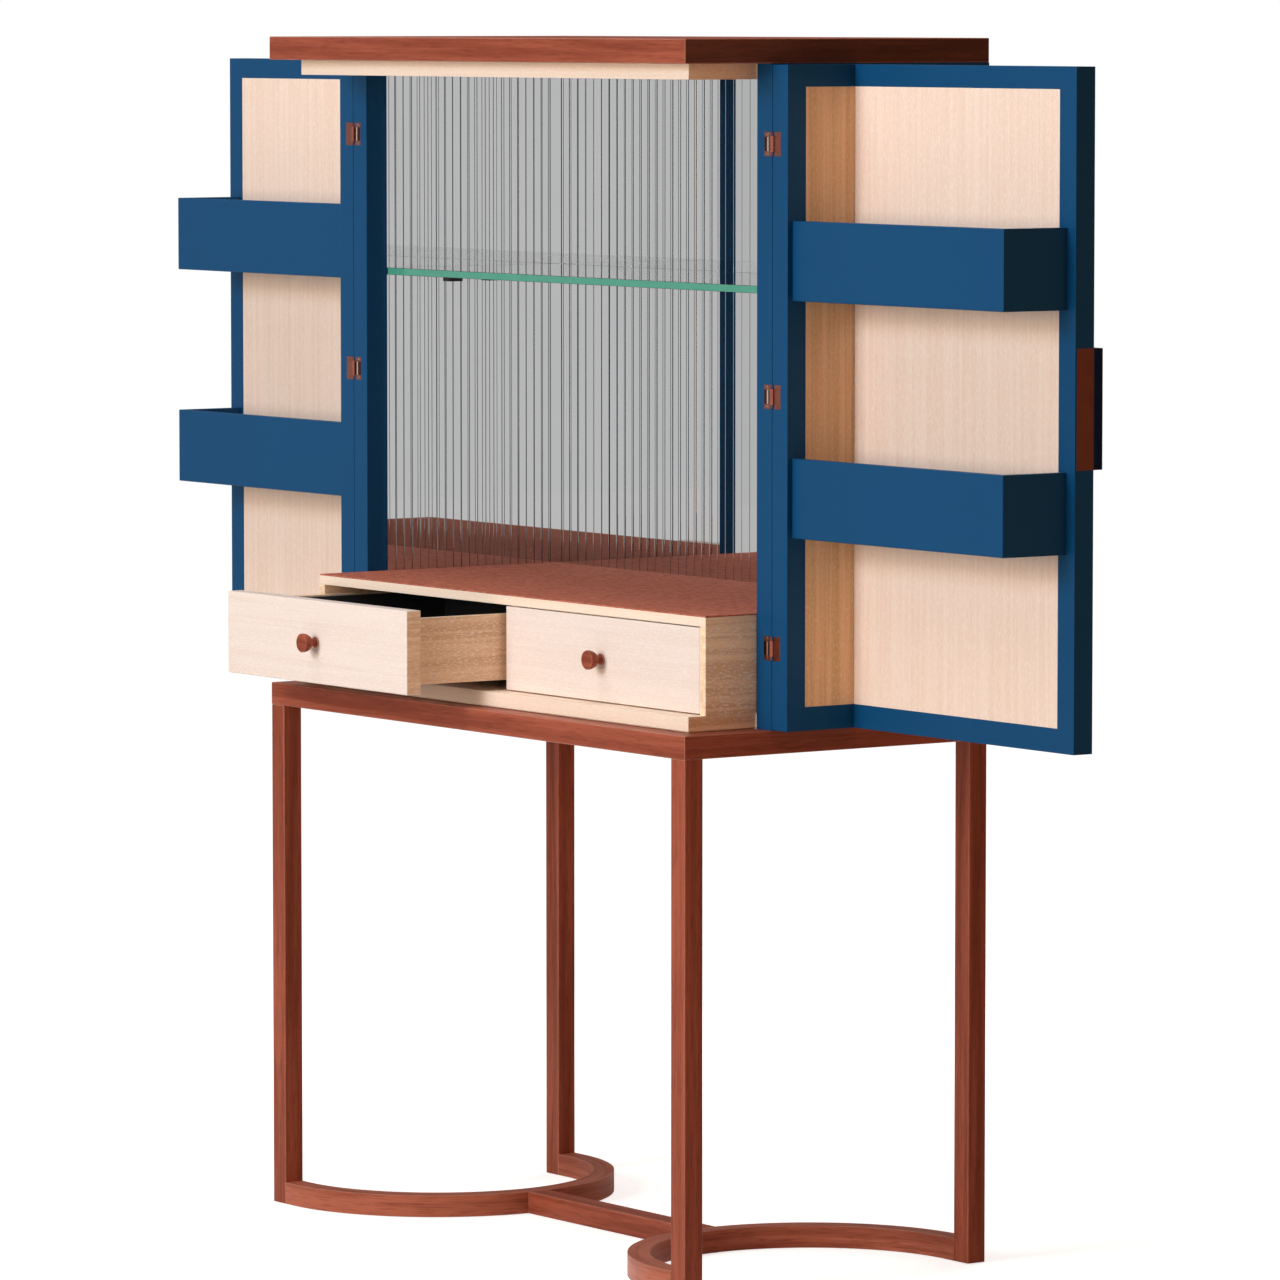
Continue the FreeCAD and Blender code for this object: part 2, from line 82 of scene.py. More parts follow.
# %% Camera
SENSOR = 36.0
LENS = 217.31
CAMERA_PLACE = (8.2966, -5.8080, 1.6124)
CAMERA_TILT = 85.33
CAMERA_TURN = 54.86
FAR_CLIP = 60.0
camera_data = bpy.data.cameras.new("photo_camera")
camera_data.sensor_width = SENSOR
camera_data.lens = LENS
camera_data.clip_end = FAR_CLIP
camera = bpy.data.objects.new("photo_camera", camera_data)
camera.location = CAMERA_PLACE
camera.rotation_euler = (math.radians(CAMERA_TILT), 0.0, math.radians(CAMERA_TURN))
bpy.context.scene.collection.objects.link(camera)
bpy.context.scene.camera = camera
print("camera at", tuple(camera.location), "with a lens of", camera_data.lens, "mm")

# %% [markdown]
# ## Light
#
# The photograph has a broad light from the front and above and only a weak, warm light from the right, so the
# faces that look to the right are dark and brownish. Large area lamps give the same soft edges as a studio's
# softboxes. The high key is a little cool and the lower front light a little warm: together they are neutral,
# and where a tray keeps the key away the oak turns warm. The lamps are hidden from the camera, because it may
# look from behind them. The Standard view keeps the picture's colours plain.

# %% Lamps
bpy.context.scene.view_settings.view_transform = "Standard"


def softbox(name, place, target, size, power, colour=(1.0, 1.0, 1.0), mirrored=True):
    """A square area lamp at place that faces target. Its local -Z axis is turned along the line to it.
    A lamp that isn't mirrored lights the object and doesn't show in its polished faces."""
    data = bpy.data.lights.new(name, "AREA")
    data.shape = "SQUARE"
    data.size = size
    data.energy = power
    data.color = colour
    lamp = bpy.data.objects.new(name, data)
    lamp.location = place
    direction = np.array(target) - np.array(place)
    lamp.rotation_euler = (
        math.atan2(math.hypot(direction[0], direction[1]), -direction[2]),
        0.0,
        math.atan2(direction[1], direction[0]) - math.pi / 2,
    )
    lamp.visible_camera = False
    lamp.visible_glossy = mirrored
    bpy.context.scene.collection.objects.link(lamp)


softbox("key_light", (0.4, -5.6, 3.3), (0.0, 0.0, 0.9), 1.2, 88.0, (0.74, 1.0, 1.30))
softbox("front_light", (0.4, -5.4, 1.7), (0.0, 0.0, 0.8), 2.4, 172.0, (1.10, 1.0, 0.88), mirrored=False)
softbox("top_light", (-0.4, -1.6, 4.4), (0.0, 0.0, 0.6), 2.6, 46.0)
softbox("overhead_light", (0.0, -0.4, 4.6), (0.0, -0.2, 0.0), 1.8, 40.0)
softbox("back_light", (-1.5, 4.5, 3.0), (0.0, 0.0, 0.9), 3.0, 100.0)
softbox("warm_right_light", (5.5, 0.6, 1.6), (0.0, 0.0, 0.9), 3.0, 46.0, (1.0, 0.46, 0.16))

# %% [markdown]
# ## White room and pale floor
#
# The photograph's background is pure white, but a white world would light every face the same. So the world
# is white only for the rays that show it: straight from the camera or through glass. All other rays meet a
# dim, warm sky, which keeps the shadows on the oak warm. The floor does the same trick and still keeps the
# cabinet's shadow: it is matt and adds just enough of its own light to reach white where no shadow falls. Far
# away its paint is darker, so that it throws little light up at the cabinet, and its own light makes up for
# that. Materials and the world are both made of nodes, so first come helpers that keep those cells short: one
# makes an empty material and gives back its shader, one adds any node and sets its values, and the others
# make the few kinds of node that come back again and again.

# %% Helpers for nodes
def new_material(name):
    """An empty node material with its Principled shader wired to the output."""
    material = bpy.data.materials.new(name)
    material.use_nodes = True
    nodes_of = material.node_tree.nodes
    nodes_of.clear()
    shader = nodes_of.new("ShaderNodeBsdfPrincipled")
    out = nodes_of.new("ShaderNodeOutputMaterial")
    material.node_tree.links.new(shader.outputs[0], out.inputs["Surface"])
    return material, shader


def add(tree, kind, settings=None, **links):
    """Adds a node. Settings are its own fields, and links are socket values or another node's output. A link
    is called by its socket's name, with _ for a space, or by its number, as in _0 for the first socket."""
    made = tree.nodes.new("ShaderNode" + kind)
    for field, value in (settings or {}).items():
        setattr(made, field, value)
    for socket, value in links.items():
        number = socket[1:]
        target = made.inputs[int(number) if number.isdigit() else socket.replace("_", " ")]
        if isinstance(value, bpy.types.NodeSocket):
            tree.links.new(value, target)
        else:
            target.default_value = value
    return made


def calc(tree, operation, *values, **settings):
    """The result of one Math operation on two or three numbers or outputs."""
    links = {"_" + str(number): value for number, value in enumerate(values)}
    return add(tree, "Math", {"operation": operation, **settings}, **links).outputs[0]


def ramp(tree, value, start, end, low=0.0, high=1.0, smooth=True):
    """A number that goes from low to high while value goes from start to end, with soft ends if smooth."""
    kind = "SMOOTHSTEP" if smooth else "LINEAR"
    return add(tree, "MapRange", {"interpolation_type": kind}, Value=value, From_Min=start, From_Max=end,
               To_Min=low, To_Max=high).outputs[0]


def between(tree, share, first, second):
    """A number from first to second, which is all second where the share is 1."""
    return add(tree, "Mix", {"data_type": "FLOAT"}, _0=share, _2=first, _3=second).outputs[0]


def blend(tree, share, first, second):
    """A colour from first to second, which is all second where the share is 1."""
    return add(tree, "Mix", {"data_type": "RGBA"}, _0=share, _6=first, _7=second).outputs[2]


def noise(tree, place, scale=1.0, **more):
    """Cloudy noise at a place, as a grey level."""
    return add(tree, "TexNoise", Vector=place, Scale=scale, **more).outputs[0]


def wire(tree, shader, **inputs):
    """Links an output to each named input of the shader, with _ for a space."""
    for name, output in inputs.items():
        tree.links.new(output, shader.inputs[name.replace("_", " ")])


def group_socket(group, name, way, kind, value=None):
    """Adds a named input or output to a node group."""
    socket = group.interface.new_socket(name=name, in_out=way, socket_type="NodeSocket" + kind)
    if value is not None:
        socket.default_value = value


print("node helpers ready")

# %% [markdown]
# A glossy face shows whatever stands opposite it. In the studio that is a bright screen in front on the
# right, a greyer one in front on the left, and a dark room behind. One small group turns a direction into
# that brightness, and both the sky and the floor use it, so there is no seam where they meet in a mirror.

# %% Studio brightness group
LEFT_SCREEN = 0.64
RIGHT_SCREEN = 1.02
DARK_ROOM = 0.15
SIDE_FADE = (-0.6, 0.6)
BACK_FADE = (-0.1, 0.4)
studio = bpy.data.node_groups.new("studio_brightness", "ShaderNodeTree")
group_socket(studio, "Direction", "INPUT", "Vector")
group_socket(studio, "Level", "OUTPUT", "Float")
way_in = studio.nodes.new("NodeGroupInput")
way_out = studio.nodes.new("NodeGroupOutput")
parts = add(studio, "SeparateXYZ", _0=way_in.outputs["Direction"])
front = ramp(studio, parts.outputs[0], *SIDE_FADE, LEFT_SCREEN, RIGHT_SCREEN)
behind = ramp(studio, parts.outputs[1], *BACK_FADE)
level = between(studio, behind, front, DARK_ROOM)
studio.links.new(level, way_out.inputs["Level"])
print("studio brightness group with", len(studio.nodes), "nodes")

# %% World
SKY_LEVEL = 0.11
SKY_TINT = (1.0, 0.76, 0.54, 1.0)
WHITE = (1.0, 1.0, 1.0, 1.0)
world = bpy.data.worlds.new("studio")
bpy.context.scene.world = world
world.use_nodes = True
tree = world.node_tree
tree.nodes.clear()
path = tree.nodes.new("ShaderNodeLightPath")
around = add(tree, "TexCoord")
screens = add(tree, "Group", {"node_tree": studio}, Direction=around.outputs["Generated"])
shown = calc(tree, "MAXIMUM", path.outputs["Is Camera Ray"], path.outputs["Is Transmission Ray"])
glossy = between(tree, path.outputs["Is Glossy Ray"], SKY_LEVEL, screens.outputs["Level"])
strength = between(tree, shown, glossy, 1.0)
plain = calc(tree, "MAXIMUM", shown, path.outputs["Is Glossy Ray"])
tone = blend(tree, plain, SKY_TINT, WHITE)
background = add(tree, "Background", Color=tone, Strength=strength)
output = tree.nodes.new("ShaderNodeOutputWorld")
tree.links.new(background.outputs[0], output.inputs["Surface"])
print("world with", len(tree.nodes), "nodes")

# %% Floor
FLOOR_HALF = 12.0
GLOW_REACH = (1.0, 2.2)
GLOW_NEAR = 0.70
PAINT_REACH = (1.2, 3.0)
PAINT_NEAR = 0.7
PAINT_FAR = 0.2
PAINT_TINT = (1.0, 0.95, 0.89)
corners = [(x * FLOOR_HALF, y * FLOOR_HALF, 0.0) for x, y in ((-1, -1), (1, -1), (1, 1), (-1, 1))]
floor_mesh = bpy.data.meshes.new("studio_floor")
floor_mesh.from_pydata(corners, [], [(0, 1, 2, 3)])
floor = bpy.data.objects.new("studio_floor", floor_mesh)
bpy.context.scene.collection.objects.link(floor)
floor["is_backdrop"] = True
pale, shader = new_material("pale_floor")
shader.inputs["Roughness"].default_value = 1.0
shader.inputs["Specular IOR Level"].default_value = 0.0
shader.inputs["Emission Color"].default_value = WHITE
tree = pale.node_tree
path = tree.nodes.new("ShaderNodeLightPath")
place = add(tree, "TexCoord").outputs["Object"]
sideways = add(tree, "VectorMath", {"operation": "NORMALIZE"}, _0=place)
screens = add(tree, "Group", {"node_tree": studio}, Direction=sideways.outputs[0])
glossy = calc(tree, "MULTIPLY", path.outputs["Is Glossy Ray"], screens.outputs["Level"])
seen = calc(tree, "MAXIMUM", path.outputs["Is Camera Ray"], glossy)
away = add(tree, "VectorMath", {"operation": "LENGTH"}, _0=place).outputs["Value"]
level = ramp(tree, away, *GLOW_REACH, GLOW_NEAR, 1.0)
paint = ramp(tree, away, *PAINT_REACH, PAINT_NEAR, PAINT_FAR)
cream = add(tree, "VectorMath", {"operation": "SCALE"}, _0=PAINT_TINT, Scale=paint)
glow = calc(tree, "MULTIPLY", seen, level)
wire(tree, shader, Base_Color=cream.outputs[0], Emission_Strength=glow)
floor_mesh.materials.append(pale)
print("floor", 2 * FLOOR_HALF, "m wide")

# %% [markdown]
# ## Grain
#
# Two woods on this cabinet show grain: pale oak, and the copper-stained wood of the stand, the slab and the
# knobs. The grain is the same idea each time: noise that is stretched a long way along the board and squeezed
# across it. So it is a node group, built once, with the colours and sizes as inputs. It expects the board's
# length along its own X axis, and each material turns the coordinates to suit.

# %% Grain group
STREAKS_ALONG = 2.2
STREAK_RANGE = (0.34, 0.68)
BROAD_ALONG = 1.1
BROAD_ACROSS = 9.0
BROAD_RANGE = (0.3, 0.7)
BROAD_SHIFT = 0.22
PORE_RANGE = (0.50, 0.66)
DARK_IS_ROUGHER = 0.12
grain = bpy.data.node_groups.new("board_grain", "ShaderNodeTree")
group_socket(grain, "Place", "INPUT", "Vector")
group_socket(grain, "Light wood", "INPUT", "Color", (1.0, 1.0, 1.0, 1.0))
group_socket(grain, "Dark wood", "INPUT", "Color", (0.5, 0.5, 0.5, 1.0))
group_socket(grain, "Pore colour", "INPUT", "Color", (0.2, 0.2, 0.2, 1.0))
group_socket(grain, "Streaks per metre", "INPUT", "Float", 60.0)
group_socket(grain, "Pores per metre", "INPUT", "Float", 400.0)
group_socket(grain, "Pore strength", "INPUT", "Float", 0.3)
group_socket(grain, "Pore slimness", "INPUT", "Float", 0.11)
group_socket(grain, "Smoothness", "INPUT", "Float", 0.45)
group_socket(grain, "Color", "OUTPUT", "Color")
group_socket(grain, "Roughness", "OUTPUT", "Float")
group_socket(grain, "Height", "OUTPUT", "Float")
way_in = grain.nodes.new("NodeGroupInput")
way_out = grain.nodes.new("NodeGroupOutput")
parts = add(grain, "SeparateXYZ", _0=way_in.outputs["Place"])


def stretched(along, across):
    """Coordinates whose X runs along the grain and is multiplied by along, with the other two by across."""
    scaled = [calc(grain, "MULTIPLY", parts.outputs[axis], factor)
              for axis, factor in enumerate((along, across, across))]
    return add(grain, "CombineXYZ", _0=scaled[0], _1=scaled[1], _2=scaled[2]).outputs[0]


pores_per_metre = way_in.outputs["Pores per metre"]
pore_length = calc(grain, "MULTIPLY", pores_per_metre, way_in.outputs["Pore slimness"])
streaks = noise(grain, stretched(STREAKS_ALONG, way_in.outputs["Streaks per metre"]), Detail=5.0,
                Roughness=0.62, Distortion=0.4)
fine = noise(grain, stretched(pore_length, pores_per_metre), Detail=2.0, Roughness=0.5)
broad = noise(grain, stretched(BROAD_ALONG, BROAD_ACROSS), Detail=2.0, Roughness=0.5)
streak_mask = ramp(grain, streaks, *STREAK_RANGE)
broad_mask = ramp(grain, broad, *BROAD_RANGE, -BROAD_SHIFT, BROAD_SHIFT, smooth=False)
shade = calc(grain, "ADD", streak_mask, broad_mask, use_clamp=True)
pores = ramp(grain, fine, *PORE_RANGE)
pore_mask = calc(grain, "MULTIPLY", pores, way_in.outputs["Pore strength"])
wood = blend(grain, shade, way_in.outputs["Light wood"], way_in.outputs["Dark wood"])
filled = blend(grain, pore_mask, wood, way_in.outputs["Pore colour"])
rough = calc(grain, "MULTIPLY_ADD", shade, DARK_IS_ROUGHER, way_in.outputs["Smoothness"])
height = calc(grain, "SUBTRACT", shade, pores)
grain.links.new(filled, way_out.inputs["Color"])
grain.links.new(rough, way_out.inputs["Roughness"])
grain.links.new(height, way_out.inputs["Height"])
print("grain group with", len(grain.nodes), "nodes")

# %% [markdown]
# ## Soft edges
#
# No real edge is sharp: sanding and lacquer round it off, and it catches the light as a thin line. The
# frame's boards have nearly sharp edges, so a second group uses the Bevel node. It gives a normal that turns
# smoothly round the edge, and a mask of where that happens, which the wood finishes use for a painted
# highlight: a lighter colour along the edge.

# %% Soft edge group
BOARD_EDGE = 1.2 * MM
METAL_EDGE = 0.6 * MM
EDGE_HIGHLIGHT_RANGE = (0.99, 0.86)
soft = bpy.data.node_groups.new("soft_edges", "ShaderNodeTree")
group_socket(soft, "Radius", "INPUT", "Float", 0.001)
group_socket(soft, "Normal", "OUTPUT", "Vector")
group_socket(soft, "Edge", "OUTPUT", "Float")
way_in = soft.nodes.new("NodeGroupInput")
way_out = soft.nodes.new("NodeGroupOutput")
rounded = add(soft, "Bevel", {"samples": 4}, Radius=way_in.outputs["Radius"]).outputs[0]
flat = soft.nodes.new("ShaderNodeNewGeometry").outputs["True Normal"]
agree = add(soft, "VectorMath", {"operation": "DOT_PRODUCT"}, _0=rounded, _1=flat).outputs["Value"]
# Painted highlight: this mask marks where the rounded normal turns from the face, and the woods paint a
# lighter colour there.
edge = ramp(soft, agree, *EDGE_HIGHLIGHT_RANGE, smooth=False)
soft.links.new(rounded, way_out.inputs["Normal"])
soft.links.new(edge, way_out.inputs["Edge"])
print("soft edge group with", len(soft.nodes), "nodes")

# %% [markdown]
# ## Wood finishes
#
# A board's grain follows its length: along Z in a leg, along X in the slab, along Y in a side rail. One
# function makes a wood finish and turns the coordinates, so each direction has its own material. The oak that
# looks sideways, as on the drawers' sides and in the doors' narrow wings, is painted warmer and darker than
# the broad, pale fronts, and the slab's sawn ends are painted darker than its front: both are painted shade.
# The top and bottom boards and the drawer case's top are a lighter, creamier oak, and the curved stretchers a
# lighter stain: both are painted light. A recipe holds what a wood needs: its colours, its grain, the colours
# of its ends if they differ, which are painted shade, the strength of its relief and the painted highlight on
# its edge.

# %% Wood material
TURNS = {"X": (0.0, 0.0, 0.0), "Y": (0.0, 0.0, -math.pi / 2), "Z": (0.0, math.pi / 2, 0.0)}
END_FACES = 0.8
GRAIN_DEPTH = 0.4 * MM
WOOD_GLOSS = 0.15


def wood_finish(name, along, recipe):
    """Wood with its grain along one axis. Base colour = grain colours, a little lighter on rounded edges as a
    painted highlight. Faces that look along X can have colours of their own, which are painted shade, and on
    a board along X they show edging, whose grain runs along Y."""
    material, shader = new_material(name)
    tree = material.node_tree
    place = add(tree, "TexCoord")
    turn = add(tree, "Mapping", Vector=place.outputs["Object"], Rotation=TURNS[along])
    end_way = "Y" if along == "X" else along
    edging = add(tree, "Mapping", Vector=place.outputs["Object"], Rotation=TURNS[end_way])
    looks = add(tree, "SeparateXYZ", _0=place.outputs["Normal"])
    at_end = calc(tree, "GREATER_THAN", calc(tree, "ABSOLUTE", looks.outputs[0]), END_FACES)
    run = add(tree, "Mix", {"data_type": "VECTOR"}, _0=at_end, _4=turn.outputs[0], _5=edging.outputs[0])
    boards = add(tree, "Group", {"node_tree": grain}, Place=run.outputs[1], **recipe["colours"],
                 **recipe["grain"])
    # Painted shade: faces that look along X take the recipe's darker, warmer end colours.
    for socket, colour in recipe.get("ends", {}).items():
        side_shade_colour = blend(tree, at_end, recipe["colours"][socket], colour)
        tree.links.new(side_shade_colour, boards.inputs[socket.replace("_", " ")])
    edges = add(tree, "Group", {"node_tree": soft}, Radius=BOARD_EDGE)
    # Painted highlight: rounded edges are mixed toward the recipe's lighter edge colour.
    edge_highlighted = blend(tree, edges.outputs["Edge"], boards.outputs["Color"], recipe["edge"])
    relief = add(tree, "Bump", Height=boards.outputs["Height"], Normal=edges.outputs["Normal"],
                 Strength=recipe["relief"], Distance=GRAIN_DEPTH)
    wire(tree, shader, Base_Color=edge_highlighted, Roughness=boards.outputs["Roughness"], Normal=relief.outputs[0])
    shader.inputs["Specular IOR Level"].default_value = WOOD_GLOSS
    return material


def colours(light, dark, pore):
    """A wood's three colours, called after the grain group's inputs."""
    return {"Light_wood": (*light, 1.0), "Dark_wood": (*dark, 1.0), "Pore_colour": (*pore, 1.0)}


print("grain turns:", list(TURNS))

# %% Wood recipes
STAIN = colours((0.35, 0.083, 0.043), (0.20, 0.040, 0.018), (0.12, 0.020, 0.009))
# Painted light: a lighter copy of the stain for the curved stretchers.
LIGHTENED_ARC_STAIN = colours((0.42, 0.12, 0.068), (0.23, 0.055, 0.029), (0.12, 0.020, 0.009))
# Painted shade: a darker copy of the stain for the slab's faces that look along X.
SHADED_SLAB_ENDS = colours((0.15, 0.042, 0.020), (0.08, 0.020, 0.009), (0.05, 0.012, 0.006))
PALE_OAK = colours((0.81, 0.68, 0.61), (0.775, 0.635, 0.555), (0.87, 0.78, 0.72))
LINING_OAK = colours((0.86, 0.665, 0.55), (0.81, 0.60, 0.475), (0.92, 0.775, 0.68))
# Painted light: a lighter, creamier copy of the oak for the top and bottom boards and the drawer case's top.
LIGHTENED_BOARD_OAK = colours((0.89, 0.71, 0.57), (0.85, 0.66, 0.51), (0.93, 0.80, 0.68))
# Painted shade: warmer, darker oaks for faces that look sideways and for the drawers' sides and insides.
SHADED_SIDE_OAK = colours((0.96, 0.69, 0.46), (0.76, 0.48, 0.29), (0.98, 0.86, 0.71))
SHADED_LINING_SIDES = colours((0.93, 0.57, 0.32), (0.76, 0.43, 0.21), (0.97, 0.73, 0.48))
STAINED_GRAIN = {"Streaks_per_metre": 60.0, "Pores_per_metre": 520.0, "Pore_strength": 0.35,
                 "Pore_slimness": 0.06, "Smoothness": 0.38}
OAK_GRAIN = {"Streaks_per_metre": 130.0, "Pores_per_metre": 760.0, "Pore_strength": 0.5,
             "Pore_slimness": 0.24, "Smoothness": 0.52}
# A recipe's edge colour is a painted highlight on rounded edges.
STAINED_RECIPE = {"colours": STAIN, "grain": STAINED_GRAIN, "relief": 0.25, "edge": (0.70, 0.33, 0.24, 1.0)}
SLAB_RECIPE = {**STAINED_RECIPE, "ends": SHADED_SLAB_ENDS}
LIGHTENED_ARC_RECIPE = {**STAINED_RECIPE, "colours": LIGHTENED_ARC_STAIN}
OAK_RECIPE = {"colours": PALE_OAK, "ends": SHADED_SIDE_OAK, "grain": OAK_GRAIN, "relief": 0.3,
              "edge": (0.90, 0.77, 0.66, 1.0)}
LINING_RECIPE = {**OAK_RECIPE, "colours": LINING_OAK, "ends": SHADED_LINING_SIDES}
LIGHTENED_BOARD_RECIPE = {**OAK_RECIPE, "colours": LIGHTENED_BOARD_OAK}
SHADED_SIDE_RECIPE = {**OAK_RECIPE, "colours": SHADED_SIDE_OAK, "grain": {**OAK_GRAIN, "Pore_strength": 0.85}}
stained = {along: wood_finish("copper_stained_wood_" + along, along, STAINED_RECIPE) for along in TURNS}
slab_wood = wood_finish("copper_stained_slab", "X", SLAB_RECIPE)
oak = wood_finish("pale_oak", "X", OAK_RECIPE)
lightened_board_oak = wood_finish("lightened_board_oak", "X", LIGHTENED_BOARD_RECIPE)
shaded_side_oak = wood_finish("shaded_side_oak", "Y", SHADED_SIDE_RECIPE)
lining = wood_finish("oak_lining", "Z", LINING_RECIPE)
print("woods:", [m.name for m in [*stained.values(), slab_wood, oak, lightened_board_oak, shaded_side_oak, lining]])

# %% [markdown]
# ## Lacquer, leather and metals
#
# The blue is a satin lacquer: an even colour, a faint ripple from the spray gun and a slightly uneven shine.
# The leather is fine-grained with small blotches, and the felt and the nylon are made the same way. The
# metals are brushed along their length.

# %% Even finishes
RIPPLE_DEPTH = 0.3 * MM
UNEVEN_SHINE = 0.06


def rippled(name, colour, other, roughness, ripple_scale, ripple, patch_scale, spread=0.5):
    """An even finish: two close colours mixed by broad noise, and a fine ripple as bump. The noise turns from
    one colour to the other between 0.5 - spread and 0.5 + spread, so a small spread gives clear blotches."""
    material, shader = new_material(name)
    tree = material.node_tree
    place = add(tree, "TexCoord").outputs["Object"]
    patches = noise(tree, place, patch_scale, Detail=4.0, Roughness=0.6)
    share = ramp(tree, patches, 0.5 - spread, 0.5 + spread, smooth=False)
    tone = blend(tree, share, colour, other)
    waves = noise(tree, place, ripple_scale, Detail=2.0)
    edges = add(tree, "Group", {"node_tree": soft}, Radius=BOARD_EDGE)
    relief = add(tree, "Bump", Height=waves, Normal=edges.outputs["Normal"], Strength=ripple,
                 Distance=RIPPLE_DEPTH)
    shine = ramp(tree, patches, 0.0, 1.0, roughness - UNEVEN_SHINE, roughness + UNEVEN_SHINE, smooth=False)
    wire(tree, shader, Base_Color=tone, Roughness=shine, Normal=relief.outputs[0])
    return material, shader


lacquer, shader = rippled("blue_lacquer", (0.003, 0.053, 0.140, 1.0), (0.005, 0.062, 0.160, 1.0),
                          roughness=0.45, ripple_scale=900.0, ripple=0.15, patch_scale=3.0)
shader.inputs["Specular IOR Level"].default_value = 0.12
leather, shader = rippled("terracotta_leather", (0.32, 0.073, 0.042, 1.0), (0.65, 0.21, 0.122, 1.0),
                          roughness=0.75, ripple_scale=1100.0, ripple=1.0, patch_scale=140.0, spread=0.21)
shader.inputs["Specular IOR Level"].default_value = 0.14
felt, shader = rippled("dark_felt", (0.010, 0.010, 0.012, 1.0), (0.020, 0.019, 0.022, 1.0),
                       roughness=0.95, ripple_scale=1500.0, ripple=1.0, patch_scale=60.0)
shader.inputs["Sheen Weight"].default_value = 0.3
nylon, shader = rippled("black_nylon", (0.03, 0.03, 0.03, 1.0), (0.045, 0.045, 0.045, 1.0),
                        roughness=0.5, ripple_scale=700.0, ripple=0.2, patch_scale=30.0)
print("even finishes:", lacquer.name, leather.name, felt.name, nylon.name)

# %% Metals
PATINA_SCALE = 40.0
SCRATCHES = (18.0, 1600.0, 1600.0)
SCRATCH_STRENGTH = 0.12
SCRATCH_DEPTH = 0.2 * MM
SCRATCHED_SHINE = 0.08


def brushed(name, along, light, dark, roughness):
    """Metal with fine scratches along one axis, which change its shine and relief a little. Its colour goes
    from light to dark in soft patches."""
    material, shader = new_material(name)
    tree = material.node_tree
    place = add(tree, "TexCoord").outputs["Object"]
    turn = add(tree, "Mapping", Vector=place, Rotation=TURNS[along])
    long_way = add(tree, "Mapping", Vector=turn.outputs[0], Scale=SCRATCHES)
    lines = noise(tree, long_way.outputs[0], Detail=3.0)
    patina = noise(tree, place, PATINA_SCALE, Detail=5.0)
    tone = blend(tree, patina, light, dark)
    edges = add(tree, "Group", {"node_tree": soft}, Radius=METAL_EDGE)
    relief = add(tree, "Bump", Height=lines, Normal=edges.outputs["Normal"], Strength=SCRATCH_STRENGTH,
                 Distance=SCRATCH_DEPTH)
    shine = ramp(tree, lines, 0.0, 1.0, roughness - SCRATCHED_SHINE, roughness + SCRATCHED_SHINE,
                 smooth=False)
    shader.inputs["Metallic"].default_value = 1.0
    wire(tree, shader, Base_Color=tone, Roughness=shine, Normal=relief.outputs[0])
    return material


copper = brushed("brushed_copper", "Z", (0.36, 0.125, 0.085, 1.0), (0.25, 0.08, 0.055, 1.0), 0.34)
plate_copper = brushed("plate_copper", "Z", (0.19, 0.052, 0.027, 1.0), (0.13, 0.034, 0.018, 1.0), 0.42)
bronze = brushed("dark_bronze", "Z", (0.012, 0.017, 0.036, 1.0), (0.008, 0.011, 0.024, 1.0), 0.38)
black_steel = brushed("black_steel", "X", (0.045, 0.045, 0.05, 1.0), (0.03, 0.03, 0.032, 1.0), 0.35)
steel = brushed("bright_steel", "Z", (0.62, 0.62, 0.64, 1.0), (0.5, 0.5, 0.52, 1.0), 0.28)
print("metals:", [m.name for m in (copper, plate_copper, bronze, black_steel, steel)])

# %% [markdown]
# ## Curved stretchers
#
# The stretchers are bent, so their grain bends too. Straight coordinates would cut across the curve. Turning
# the place into an angle and a distance from the arc's centre makes the noise follow the bend.

# %% Bent grain
ARC_INSET = 20.0 * MM
bent = {}
for side, name in ((1, "right"), (-1, "left")):
    low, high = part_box("stretcher_arc_" + name)
    leg_face = high.x if side > 0 else low.x
    centre_x = leg_face - side * ARC_INSET
    # The arcs take the lighter stain, a painted light.
    material = wood_finish("bent_wood_" + name, "Z", LIGHTENED_ARC_RECIPE)
    tree = material.node_tree
    place = next(n for n in tree.nodes if n.type == "TEX_COORD")
    boards = next(n for n in tree.nodes if n.type == "GROUP" and n.node_tree == grain)
    centred = add(tree, "VectorMath", {"operation": "SUBTRACT"}, _0=place.outputs["Object"],
                  _1=(centre_x, 0.0, 0.0))
    split = add(tree, "SeparateXYZ", _0=centred.outputs[0])
    away = calc(tree, "MULTIPLY", split.outputs[0], -side)
    angle = calc(tree, "ARCTAN2", split.outputs[1], away)
    length = calc(tree, "MULTIPLY", angle, high.y)
    flat_place = add(tree, "CombineXYZ", _0=split.outputs[0], _1=split.outputs[1])
    distance = add(tree, "VectorMath", {"operation": "LENGTH"}, _0=flat_place.outputs[0]).outputs["Value"]
    along_bend = add(tree, "CombineXYZ", _0=length, _1=distance, _2=split.outputs[2])
    tree.links.new(along_bend.outputs[0], boards.inputs["Place"])
    bent[name] = material
    print(material.name, "bends round x =", round(centre_x, 3))


# %% [markdown]
# ## Which piece has which finish
#
# The CAD nodes keep their meshes and only get a material. A line for each finish, with the names of its
# nodes, is easier to read and to change than a line for each node.

# %% Dress the frame
def dress(material, *names):
    """Puts one material on every slot of these CAD nodes."""
    for name in names:
        mesh = nodes[name].data
        mesh.materials.clear()
        mesh.materials.append(material)


def both(pattern):
    """The right-hand and left-hand names of a pair."""
    return [pattern.format("right"), pattern.format("left")]


